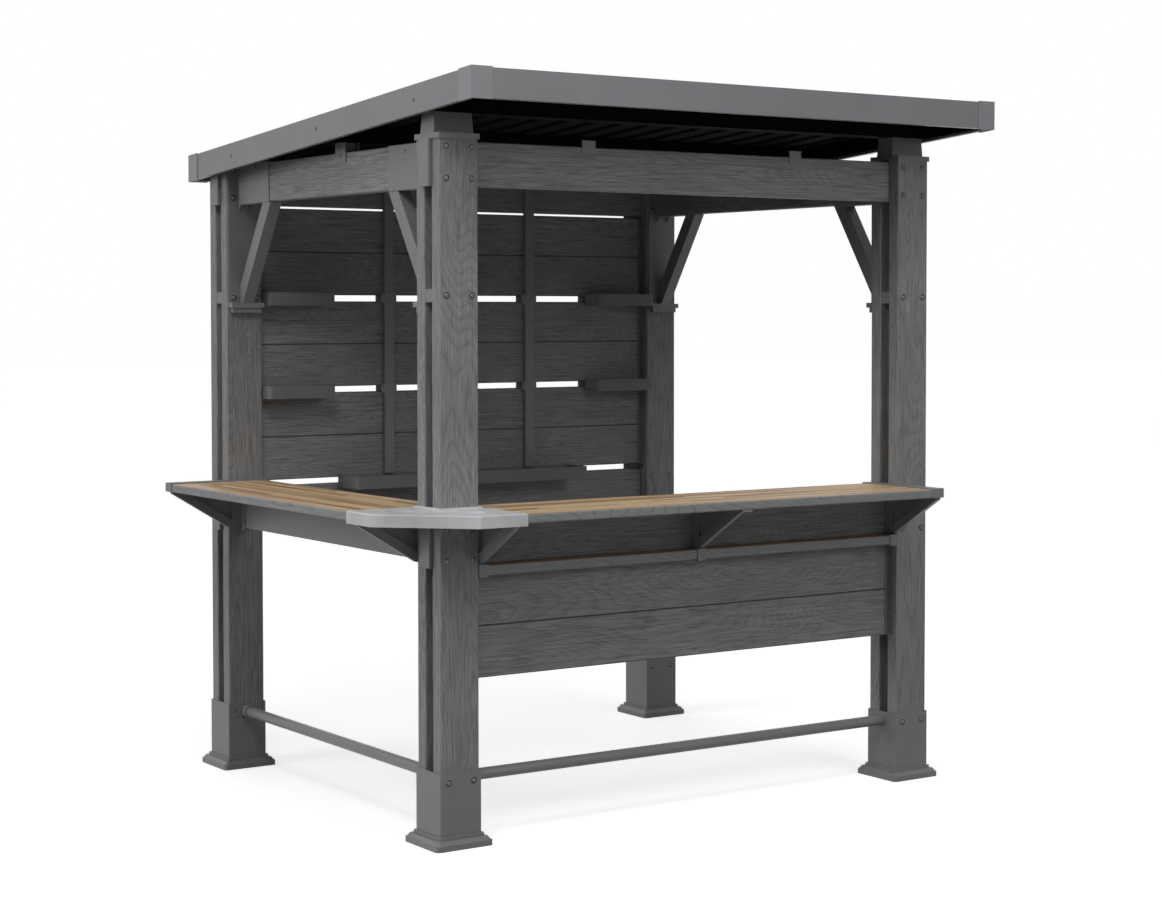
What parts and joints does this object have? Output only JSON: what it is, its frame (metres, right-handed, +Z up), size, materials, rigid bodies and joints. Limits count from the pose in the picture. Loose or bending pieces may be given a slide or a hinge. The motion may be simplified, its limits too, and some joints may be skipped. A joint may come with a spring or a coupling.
{
  "type": "garden bar gazebo",
  "caption": "Open garden bar gazebo with grained grey double-plank posts, a sloping ribbed roof, a slatted back wall with shelves and oak-look bar counters.",
  "frame": {"origin": "on the ground, under the middle of the whole plan, counters and roof overhang included", "axes": "+X to the right along the front counter, +Y from the front counter to the back wall, +Z up"},
  "size_m": [2.341, 2.057, 2.4333],
  "materials": {
    "grey_planks": "wood-grained, matte",
    "smooth_grey": "smooth, matte",
    "light_grey": "finely speckled, matte",
    "oak_top": "oak-look staves, satin",
    "roof_trim": "satin",
    "roof_frame": "matte",
    "rail_grey": "satin"
  },
  "bodies": {
    "root": {"apron_ends": "smooth_grey", "back_battens": "smooth_grey", "back_beam": "grey_planks", "back_board": "grey_planks", "back_fascia": "roof_trim", "back_left_post": "grey_planks", "back_right_post": "grey_planks", "back_wall_lower_panel": "grey_planks", "back_wall_middle_panel": "grey_planks", "back_wall_top_panel": "grey_planks", "beam_clips": "roof_frame", "corner_brackets": "smooth_grey", "corner_tray": "light_grey", "counter_brackets": "smooth_grey", "counter_end_caps": "smooth_grey", "end_caps": "smooth_grey", "fascia_corners": "roof_trim", "front_beam": "grey_planks", "front_board": "grey_planks", "front_counter": "oak_top", "front_fascia": "roof_trim", "front_foot_rail": "rail_grey", "front_ledge": "grey_planks", "front_left_post": "grey_planks", "front_panel": "grey_planks", "front_right_post": "grey_planks", "ledge_clips": "smooth_grey", "left_apron": "smooth_grey", "left_counter": "oak_top", "left_foot_rail": "rail_grey", "long_shelf": "smooth_grey", "panel_angles": "smooth_grey", "post_boots": "smooth_grey", "post_caps": "smooth_grey", "post_spacers": "smooth_grey", "purlin_straps": "roof_frame", "purlins": "roof_frame", "roof_risers": "smooth_grey", "roof_sheet": "roof_frame", "side_beams": "grey_planks", "side_fascias": "roof_trim", "side_joists": "roof_frame", "slot_spacers": "smooth_grey", "small_shelves": "smooth_grey"}
  },
  "joints": []
}
